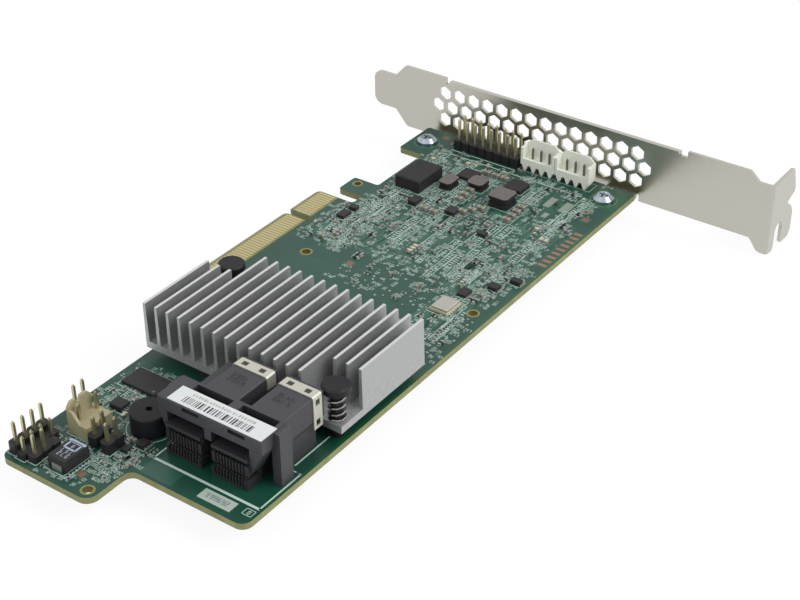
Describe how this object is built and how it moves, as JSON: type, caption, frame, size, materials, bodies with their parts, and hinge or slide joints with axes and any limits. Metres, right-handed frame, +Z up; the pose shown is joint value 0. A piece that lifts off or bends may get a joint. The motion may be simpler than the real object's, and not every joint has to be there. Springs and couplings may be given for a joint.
{
  "type": "raid controller card",
  "caption": "Storage controller expansion card: heat-sinked circuit board with internal twin cable connector, pin headers, gold edge contacts and a vented full-height bracket.",
  "frame": {"origin": "middle of the bounding box at its lowest level, the foot of the bracket's screw ear; the card lies component side up", "axes": "+X along the board from the tail to the bracket, +Y across the board to the gold edge contacts, +Z up out of the component side"},
  "size_m": [0.1838, 0.1208, 0.0225],
  "materials": {
    "solder_mask": "semi-gloss solder mask over glass-epoxy laminate",
    "gold": "gold plated",
    "copper": "bare copper",
    "nickel_steel": "satin nickel over steel sheet",
    "screw_steel": "zinc plated",
    "aluminium": "milled extrusion, clear finish",
    "black_nylon": "satin black",
    "spring_steel": "bright wire",
    "package": "matte black moulding",
    "thermal_pad": "soft grey",
    "connector_black": "satin black",
    "tin_strap": "tin plated",
    "label_white": "matte white film",
    "header_black": "matte black",
    "cream_nylon": "satin cream",
    "white_nylon": "satin white",
    "ferrite_black": "matte",
    "ferrite_grey": "matte",
    "capacitor_black": "matte",
    "ceramic_base": "matte ceramic",
    "capacitor_tan": "matte ceramic"
  },
  "bodies": {
    "root": {"circuit_board": "solder_mask", "edge_contacts": "gold", "copper_pads": "copper", "bracket": "nickel_steel", "bracket_screws": "screw_steel", "heat_sink": "aluminium", "push_pins": "black_nylon", "push_pin_springs": "spring_steel", "controller_chip": "package", "thermal_pad": "thermal_pad", "memory_chips": "package", "sas_connector_housing": "connector_black", "sas_contact_carriers": "connector_black", "sas_contacts": "gold", "sas_clips": "tin_strap", "barcode_label": "label_white", "board_label": "label_white", "buzzer": "black_nylon", "tail_header_base": "header_black", "tail_header_pins": "gold", "tail_middle_header_base": "header_black", "tail_middle_header_pins": "gold", "tail_side_header_base": "header_black", "tail_side_header_pins": "gold", "rear_header_base": "header_black", "rear_header_pins": "gold", "middle_header_base": "header_black", "middle_header_pins": "gold", "middle_side_header_base": "header_black", "middle_side_header_pins": "gold", "bracket_header_base": "header_black", "bracket_header_pins": "gold", "key_header_shroud": "cream_nylon", "key_header_pins": "gold", "cable_header_shrouds": "white_nylon", "cable_header_pins": "tin_strap", "flash_chip": "package", "monitor_chip": "package", "power_mosfets": "package", "main_inductor": "ferrite_black", "small_inductors": "ferrite_grey", "capacitor": "capacitor_black", "capacitor_terminals": "tin_strap", "oscillator_base": "ceramic_base", "oscillator_lid": "gold", "small_chips": "package", "bulk_capacitors": "capacitor_tan"}
  },
  "joints": []
}
